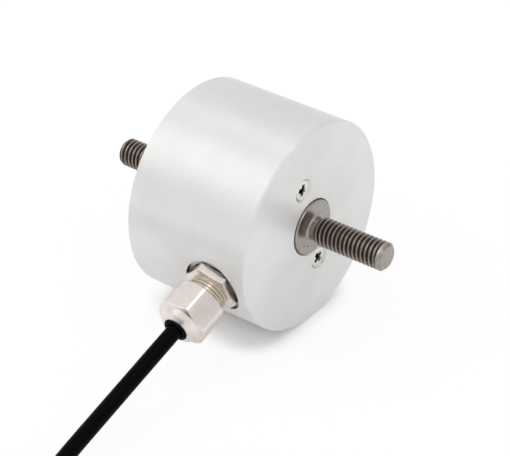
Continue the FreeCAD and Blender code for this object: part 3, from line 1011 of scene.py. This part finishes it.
def make_gland_washer():
    """The rubber washer in its pocket, squeezed out into a thin lip under the hexagon."""
    room = 0.02
    # The lip reaches past the hexagon's flats, where its black also stands in for the shade in the gap
    outline = [
        (washer_seat + room, gland_hole_radius),
        (washer_seat + room, washer_pocket_radius - room),
        (spot_floor + room, washer_pocket_radius - room),
        (spot_floor + room, washer_lip_radius),
        (hex_seat - room, washer_lip_radius),
        (hex_seat - room, gland_hole_radius),
    ]
    washer = turned_object("gland_rubber_washer", outline, segments=128, closed=True)
    return dressed(washer, gland_place, "black_rubber", "gland_washer")


def make_gland_insert():
    """The rubber insert, squeezed out round the cable in a soft lip."""
    room = 0.1
    lip_flare = 0.2
    lip_depth = 0.6
    lip_rounding = 0.7
    bore = cable_radius + room
    lip_radius = cap_hole_radius - room
    outline = [
        (chamber_floor, bore),
        (chamber_floor, chamber_radius - room),
        (collar_top, chamber_radius - room),
        (cage_top, lip_radius),
        (insert_end, lip_radius),
        (insert_end, bore + lip_flare),
        (cap_end - lip_depth, bore),
    ]
    insert = turned_object(
        "gland_rubber_insert", outline, segments=96, rounding=lip_rounding, steps=6, closed=True
    )
    return dressed(insert, gland_place, "black_rubber", "gland_insert")


make_housing()
make_rear_cover()
punch_marks = [(-4.99, -2.08), (-3.85, -3.55)]
make_stud("front_threaded_stud", front_place, "front_stud", front_plain_end, punch_marks)
make_stud("rear_threaded_stud", rear_place, "rear_stud", plain_end=0.0, marks=[])
make_housing_screws()
gland_body = make_gland_body()
gland_cap_nut = make_gland_cap_nut()
gland_washer = make_gland_washer()
gland_insert = make_gland_insert()

# Pieces that keep their solids: inside the can, or seals that hardly show

for node, slot in {
    "sensing_element": "spring_steel",
    "strain_gauges": "gauge_foil",
    "terminal_board": "circuit_board",
    "inner_leads": "white_insulation",
    "cover_ring": "black_rubber",
    "front_ring": "black_rubber",
    "rear_ring": "black_rubber",
    "gland_cage": "natural_nylon",
}.items():
    solids[node].data.materials.clear()
    solids[node].data.materials.append(looks[slot])


# Cable: the route's points listed, the coil's turns by a loop


def gland_point(along):
    """A place on the gland's axis at a distance from the load axis."""
    return gland_place @ Vector((along, 0, 0))


coil_columns = 5
coil_pitch = 4.4
coil_height = 3.1
coil_mean_radius = 26.4
coil_climb_room = 1.8
coil_room = 0.1
coil_outer_turn = coil_mean_radius + (coil_columns - 1) / 2 * coil_pitch
coil_inner_turn = coil_outer_turn - (coil_columns - 1) * coil_pitch
coil_outer_radius = coil_outer_turn + cable_radius + coil_room
coil_turns = 2 * (coil_columns - 1) + 1
points_per_turn = 16

inside_can = 21.0
bend_start = 64.0
cable_route = [
    gland_point(inside_can),
    gland_point(bend_start),
    Vector((11.8, -103.5, coil_height)),
    Vector((17.8, -116.4, coil_height)),
]
coil_stub = math.sqrt(coil_outer_radius**2 - (coil_outer_turn - cable_radius) ** 2) + coil_room
coil_heading = (cable_route[-1] - cable_route[-2]).normalized()
coil_right = Vector((coil_heading.y, -coil_heading.x, 0))
coil_entry = cable_route[-1] + coil_heading * coil_stub
coil_centre = coil_entry + coil_right * coil_outer_turn
coil_start_angle = math.atan2(-coil_right.y, -coil_right.x)


def coil_place(turn):
    """The radius and height of the coil's cable: inwards on the surface, up and outwards on top."""
    spiral = coil_columns - 1
    steepness = 6
    if turn < spiral:
        return coil_outer_turn - coil_pitch * turn, coil_height
    if turn < spiral + 1:
        climb = turn - spiral
        tuck = coil_climb_room * (1 - (2 * climb - 1) ** steepness)
        return coil_inner_turn - tuck, coil_height + coil_pitch * climb
    outwards = min(turn - spiral - 1, spiral)
    return coil_inner_turn + coil_pitch * outwards, coil_height + coil_pitch


def coil_points():
    """Control points half a step between the places where the curve touches its radius."""
    step = 1 / points_per_turn
    stretch = 1 / math.cos(math.pi * step)
    points = []
    for number in range(coil_turns * points_per_turn):
        turn = (number + 0.5) * step
        radius, height = coil_place(turn)
        angle = coil_start_angle - 2 * math.pi * turn
        out = Vector((math.cos(angle), math.sin(angle), 0)) * radius * stretch
        points.append(Vector((coil_centre.x, coil_centre.y, height)) + out)
    return points


# The tail's points one by one, each as its way forward, aside and down from the top of the coil
tail_start = coil_entry + Vector((0, 0, coil_pitch)) + coil_heading * coil_stub
tail_steps = [(0.0, 0.0, 0.0), (11.0, 0.0, 0.0), (23.6, 4.6, 4.6), (33.0, 12.2, 4.6)]
tail_route = [
    tail_start + coil_heading * forward + coil_right * aside - Vector((0, 0, down))
    for forward, aside, down in tail_steps
]
tail_end = tail_route[-1]
end_heading = (tail_route[-1] - tail_route[-2]).normalized()
end_left = Vector((-end_heading.y, end_heading.x, 0))


def spline_through(name, points, radius, unit, roundness=6):
    """A round cord along a smooth spline with these control points, in metres or in millimetres."""
    curve = bpy.data.curves.new(name, "CURVE")
    curve.dimensions = "3D"
    curve.bevel_depth = radius * unit
    curve.bevel_resolution = roundness
    curve.use_fill_caps = True
    curve.resolution_u = 6
    spline = curve.splines.new("NURBS")
    spline.points.add(len(points) - 1)
    for point, control in zip(points, spline.points):
        control.co = (*(point * unit), 1.0)
    spline.order_u = 3
    spline.use_endpoint_u = True
    return linked(name, curve)


def as_mesh(made):
    """A mesh object in place of a curve object."""
    mesh = evaluated_mesh(made)
    name = made.name
    bpy.data.objects.remove(made)
    return linked(name, mesh)


def make_cable():
    """The whole cable as one curve: out of the gland, round the coil and along its tail."""
    points = cable_route + coil_points() + tail_route
    cable = spline_through("black_cable", points, cable_radius, MM, roundness=10)
    cable.data.materials.append(looks["cable_jacket"])
    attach(cable, "root")
    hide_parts("cable", "cable_coil", "cable_tail")
    return cable


cable = make_cable()

# Ties round the coil


def coil_section(angle):
    """The places where the coil's turns cross a half plane at an angle, as radius and height."""
    first = (coil_start_angle - angle) / (2 * math.pi) % 1
    return [Vector(coil_place(first + turn)) for turn in range(coil_turns)]


def drawn_round(middles, radius, steps=96):
    """A closed loop drawn tight round circles of one radius."""
    loop = []
    for step in range(steps):
        angle = 2 * math.pi * step / steps
        out = Vector((math.cos(angle), math.sin(angle)))
        loop.append(max(middles, key=out.dot) + out * radius)
    return loop


def rounded_block(name, low, high, rounding):
    """A box between two corners with rounded edges."""
    shape = bmesh.new()
    bmesh.ops.create_cube(shape, size=1.0)
    size = Vector(high) - Vector(low)
    middle = (Vector(high) + Vector(low)) / 2
    shape.transform(Matrix.Translation(middle) @ Matrix.Diagonal((*size, 1.0)))
    bmesh.ops.bevel(shape, geom=shape.edges[:], offset=rounding, segments=2, affect="EDGES", profile=0.5)
    return object_of(shape, name)


def make_tie(name, node, angle):
    """A nylon tie drawn tight round the turns: band, head with its slot and cut-off end."""
    width = 3.2
    thickness = 0.7
    room = 0.15
    half_head = 2.5
    head_height = 2.4
    head_rounding = 0.35
    end_inset = 0.35
    end_rise = 0.7
    end_overhang = 1.6
    slot_inset = 0.55
    slot_rises = (0.6, 1.7)
    slot_ends = (-2 * half_head, -1.0)
    fine_rounding = 0.1
    turns = coil_section(math.radians(angle))
    inside = drawn_round(turns, cable_radius + room)
    outside = drawn_round(turns, cable_radius + room + thickness)
    shape = bmesh.new()
    rings = []
    for loop, across in ((inside, -1), (outside, -1), (outside, 1), (inside, 1)):
        rings.append([shape.verts.new((x, across * width / 2, z)) for x, z in loop])
    skin(shape, zip(rings[1:] + rings[:1], rings))
    tie = object_of(shape, name)
    head_base = coil_height + coil_pitch + cable_radius + room + thickness

    def block(label, ends, inset, rises, rounding):
        low = (coil_mean_radius + ends[0], inset - width / 2, head_base + rises[0])
        high = (coil_mean_radius + ends[1], width / 2 - inset, head_base + rises[1])
        return rounded_block(f"{name}_{label}", low, high, rounding)

    head = block("head", (-half_head, half_head), 0, (-thickness / 2, head_height), head_rounding)
    end_rises = (end_rise, end_rise + thickness)
    cut_end = block("cut_end", (0, half_head + end_overhang), end_inset, end_rises, fine_rounding)
    slot = block("slot", slot_ends, slot_inset, slot_rises, fine_rounding)
    carved(tie, [head, cut_end], "UNION")
    carved(tie, [slot])
    turned = Matrix.Rotation(math.radians(angle), 4, "Z")
    tie_place = Matrix.Translation((coil_centre.x, coil_centre.y, 0)) @ turned
    return dressed(tie, tie_place, "natural_nylon", node)


# The stripped far end

end_place = Matrix.Translation(tail_end) @ end_heading.to_track_quat("X", "Z").to_matrix().to_4x4()


def make_end_sleeve():
    """Heat-shrink sleeve, drawn in a little over the jacket and over the leads."""
    room = 0.04
    bore = cable_radius + room
    back = -5.0
    front = 4.0
    back_slope = 0.8
    front_slope = 1.6
    back_radius = 2.45
    full_radius = 2.6
    front_radius = 2.5
    edge_rounding = 0.2
    outline = [
        (back, bore),
        (back, back_radius),
        (back + back_slope, full_radius),
        (front - front_slope, full_radius),
        (front, front_radius),
        (front, bore),
    ]
    sleeve = turned_object("shrunk_end_sleeve", outline, segments=64, rounding=edge_rounding, closed=True)
    return dressed(sleeve, end_place, "heat_shrink", "end_sleeve")


def make_lead(node, slot, sideways, upwards, spread, reach):
    """One stripped lead: its insulation, fanned out on the surface, and the twisted strands at its tip."""
    lead_radius = 0.55
    strand_radius = 0.1
    strand_circle = 0.2
    strand_count = 6
    strand_steps = 14
    twist_length = 6.0
    bare_length = 5.0
    overlap = 0.5
    straight = 5.1
    up = Vector((0, 0, 1))
    start = tail_end + end_left * sideways + up * upwards
    landing = Vector((tail_end.x, tail_end.y, lead_radius))
    points = [
        start,
        start + end_heading * straight,
        landing + end_heading * (straight + reach) / 2 + end_left * spread / 2,
        landing + end_heading * reach + end_left * spread,
    ]
    parts = [as_mesh(spline_through(f"{node}_insulation", points, lead_radius, unit=1.0))]
    tip_heading = (points[-1] - points[-2]).normalized()
    aside = up.cross(tip_heading)
    for strand in range(strand_count):
        twist = []
        for step in range(strand_steps + 1):
            along = step / strand_steps * (bare_length + overlap) - overlap
            angle = 2 * math.pi * (strand / strand_count + along / twist_length)
            out = aside * math.cos(angle) + up * math.sin(angle)
            twist.append(points[-1] + tip_heading * along + out * strand_circle)
        wire = as_mesh(spline_through(f"{node}_strand_{strand}", twist, strand_radius, 1.0, roundness=1))
        wire.data.polygons.foreach_set("material_index", [1] * len(wire.data.polygons))
        parts.append(wire)
    lead = joined(f"{node}_wire", parts)
    return dressed(lead, Matrix.Identity(4), slot, node, tinned_copper)


tie_near = make_tie("coil_tie_first", "coil_tie_near", angle=115.0)
tie_far = make_tie("coil_tie_second", "coil_tie_far", angle=295.0)
end_sleeve = make_end_sleeve()
# Each lead's place in the cable, sideways and upwards, and its tip's, aside and forward
leads = [
    make_lead("lead_red", "red_insulation", 0.9, 0.9, 7.0, 18.0),
    make_lead("lead_white", "white_insulation", 0.9, -0.9, 3.5, 20.0),
    make_lead("lead_screen", "yellow_insulation", 0.0, 0.0, 0.4, 17.0),
    make_lead("lead_green", "green_insulation", -0.9, -0.9, -3.2, 19.5),
    make_lead("lead_black", "black_insulation", -0.9, 0.9, -6.6, 18.5),
]


# Floor, light and camera


def make_floor():
    """A wide white floor that keeps the shadow close to the can; a little away from it, a painted glow
    covers the shadow.
    """
    shape = bmesh.new()
    bmesh.ops.create_circle(shape, cap_ends=True, segments=96, radius=4000)
    floor = object_of(shape, "floor")
    floor.data.transform(Matrix.Scale(MM, 4))
    material, tree, surface, place = new_material("white_floor")
    plug(tree, surface, {"Base Color": linear("#fdfdfd"), "Roughness": 1.0, "Specular IOR Level": 0.0})
    shaded_half = Vector((10.0, 10.0, 0.0))
    shaded_shift = Vector((0.0, 2.0, 0.0))
    white_ends = (7.5 * MM, 15.5 * MM)
    whitest = 0.87
    near_ends = (85 * MM, 110 * MM)
    aside = vector_reckoned(tree, "ABSOLUTE", mapped(tree, place, shaded_shift * MM))
    past = vector_reckoned(tree, "SUBTRACT", aside, shaded_half * MM)
    past = vector_reckoned(tree, "MAXIMUM", past)
    away = vector_reckoned(tree, "LENGTH", past, result="Value")
    white = ranged(tree, away, white_ends, (0.0, whitest), interpolation_type="SMOOTHSTEP")
    from_can = vector_reckoned(tree, "LENGTH", place, result="Value")
    near = ranged(tree, from_can, near_ends, (1.0, 0.0))
    # For the camera only, the painted white glow hides the floor's shadow away from the can
    seen = add(tree, "ShaderNodeLightPath").outputs["Is Camera Ray"]
    share = reckoned(tree, "MULTIPLY", reckoned(tree, "MULTIPLY", white, near), seen)
    glow = add(tree, "ShaderNodeEmission", {"Color": linear("#ffffff"), "Strength": 1.0})
    mix = add(tree, "ShaderNodeMixShader", {0: share, 1: surface.outputs[0], 2: glow.outputs[0]})
    shown = next(node for node in tree.nodes if node.type == "OUTPUT_MATERIAL")
    plug(tree, shown, {"Surface": mix.outputs[0]})
    floor.data.materials.append(material)


def make_world():
    """A white room, brighter above and on the left and dimmer on the side of the front face."""
    world = bpy.data.worlds.new("white_room")
    bpy.context.scene.world = world
    world.use_nodes = True
    tree = world.node_tree
    tree.nodes.clear()
    bright_side = (-0.38, -0.42, 0.82)
    facing_ends = (-0.6, 1.0)
    levels = (0.7, 0.96)
    direction = add(tree, "ShaderNodeTexCoord").outputs["Generated"]
    facing = vector_reckoned(tree, "DOT_PRODUCT", direction, bright_side, result="Value")
    level = ranged(tree, facing, facing_ends, levels)
    seen = add(tree, "ShaderNodeLightPath").outputs["Is Camera Ray"]
    strength = blended(tree, seen, level, 1.0, kind="FLOAT")
    room = add(tree, "ShaderNodeBackground", {"Color": linear("#ffffff"), "Strength": strength})
    add(tree, "ShaderNodeOutputWorld", {"Surface": room.outputs[0]})


def make_softbox(name, direction, size, power):
    """A square area lamp that looks at the can's middle from a direction."""
    distance = 1800
    lamp = bpy.data.lights.new(name, "AREA")
    lamp.shape = "SQUARE"
    lamp.size = size * MM
    lamp.energy = power
    made = linked(name, lamp)
    out = Vector(direction).normalized()
    made.location = (Vector((0, 0, housing_radius)) + out * distance) * MM
    made.rotation_euler = out.to_track_quat("Z", "Y").to_euler()


# The camera's place is worked out from the photograph's outlines: angles, distance and aim point
photo_width = 510
camera_azimuth = math.radians(37.205)
camera_elevation = math.radians(33.363)
camera_distance = 569.1
camera_aim = Vector((3.106, -2.753, 24.274))
camera_focal_pixels = 2086.4
sensor_width = 36.0
camera_back = Vector(
    (
        math.sin(camera_azimuth) * math.cos(camera_elevation),
        -math.cos(camera_azimuth) * math.cos(camera_elevation),
        math.sin(camera_elevation),
    )
)


def make_camera():
    """The camera in the photograph's place, with its field of view."""
    lens = bpy.data.cameras.new("camera")
    lens.sensor_fit = "HORIZONTAL"
    lens.sensor_width = sensor_width
    lens.lens = camera_focal_pixels * sensor_width / photo_width
    lens.clip_start = 0.01
    lens.clip_end = 50
    camera = linked("camera", lens)
    camera.location = (camera_aim + camera_back * camera_distance) * MM
    camera.rotation_euler = camera_back.to_track_quat("Z", "Y").to_euler()
    bpy.context.scene.camera = camera


make_floor()
make_world()
make_softbox("key_softbox", (-0.44, -0.46, 0.77), size=1450, power=6.2)
make_softbox("top_softbox", (0.26, 0.21, 0.94), size=500, power=2.2)
make_softbox("side_softbox", (0.84, -0.14, 0.52), size=500, power=1.2)
make_camera()
bpy.context.scene.view_settings.view_transform = "Standard"
